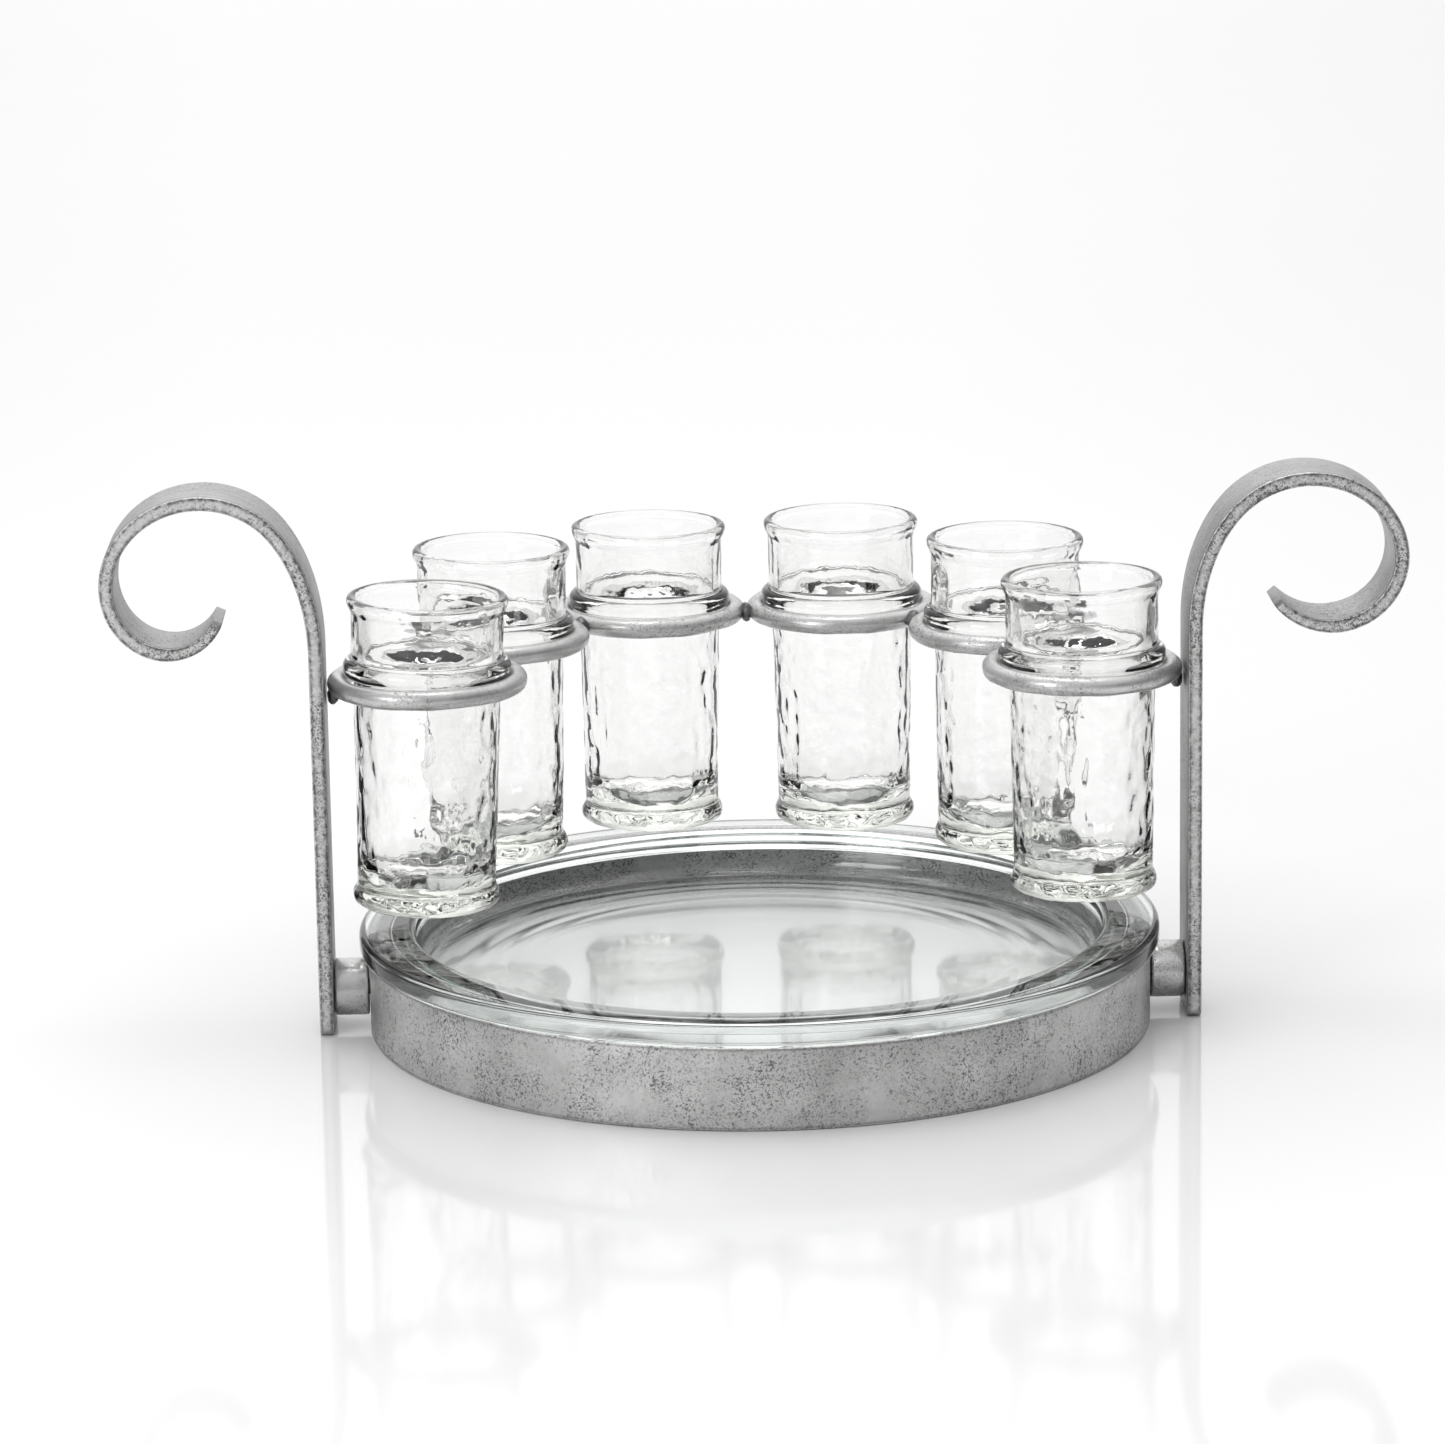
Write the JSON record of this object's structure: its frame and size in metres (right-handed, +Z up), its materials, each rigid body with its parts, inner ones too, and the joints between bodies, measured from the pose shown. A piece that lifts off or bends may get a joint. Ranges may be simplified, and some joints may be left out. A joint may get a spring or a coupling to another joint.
{
  "type": "glass cup server",
  "caption": "Serving stand: a metal hoop with a round glass dish, scroll handles at both sides and a curved rack of welded rings in which blown glass cups hang.",
  "frame": {"origin": "on the table, midway between the front of the dish and the back of the rack, and midway between the handles", "axes": "+Z up, -Y towards the open front, where the dish shows, +X towards the right handle as seen from the front"},
  "size_m": [0.4037, 0.2572, 0.1731],
  "materials": {
    "pewter": "mottled pewter coat on iron bar",
    "screw_steel": "plain steel",
    "clear_glass": "clear hand-blown or pressed glass"
  },
  "bodies": {
    "stand": {"base_ring": "pewter", "handle_left": "pewter", "handle_right": "pewter", "spacer_left": "pewter", "spacer_right": "pewter", "screw_left": "screw_steel", "screw_right": "screw_steel", "cup_ring_1": "pewter", "cup_ring_2": "pewter", "cup_ring_3": "pewter", "cup_ring_4": "pewter", "cup_ring_5": "pewter", "cup_ring_6": "pewter", "ring_weld_1": "pewter", "ring_weld_2": "pewter", "ring_weld_3": "pewter", "ring_weld_4": "pewter", "ring_weld_5": "pewter", "handle_weld_left": "pewter", "handle_weld_right": "pewter"},
    "dish": {"glass_dish": "clear_glass"},
    "cup_1": {"glass_cup_1": "clear_glass"},
    "cup_2": {"glass_cup_2": "clear_glass"},
    "cup_3": {"glass_cup_3": "clear_glass"},
    "cup_4": {"glass_cup_4": "clear_glass"},
    "cup_5": {"glass_cup_5": "clear_glass"},
    "cup_6": {"glass_cup_6": "clear_glass"}
  },
  "joints": [
    {"name": "dish_lift", "type": "slide", "parent": "stand", "child": "dish", "axis": [0, 0, 1], "range_m": [0, 0.0055]},
    {"name": "cup_1_lift", "type": "slide", "parent": "stand", "child": "cup_1", "axis": [0, 0, 1], "range_m": [0, 0.14]},
    {"name": "cup_2_lift", "type": "slide", "parent": "stand", "child": "cup_2", "axis": [0, 0, 1], "range_m": [0, 0.14]},
    {"name": "cup_3_lift", "type": "slide", "parent": "stand", "child": "cup_3", "axis": [0, 0, 1], "range_m": [0, 0.14]},
    {"name": "cup_4_lift", "type": "slide", "parent": "stand", "child": "cup_4", "axis": [0, 0, 1], "range_m": [0, 0.14]},
    {"name": "cup_5_lift", "type": "slide", "parent": "stand", "child": "cup_5", "axis": [0, 0, 1], "range_m": [0, 0.14]},
    {"name": "cup_6_lift", "type": "slide", "parent": "stand", "child": "cup_6", "axis": [0, 0, 1], "range_m": [0, 0.14]}
  ]
}
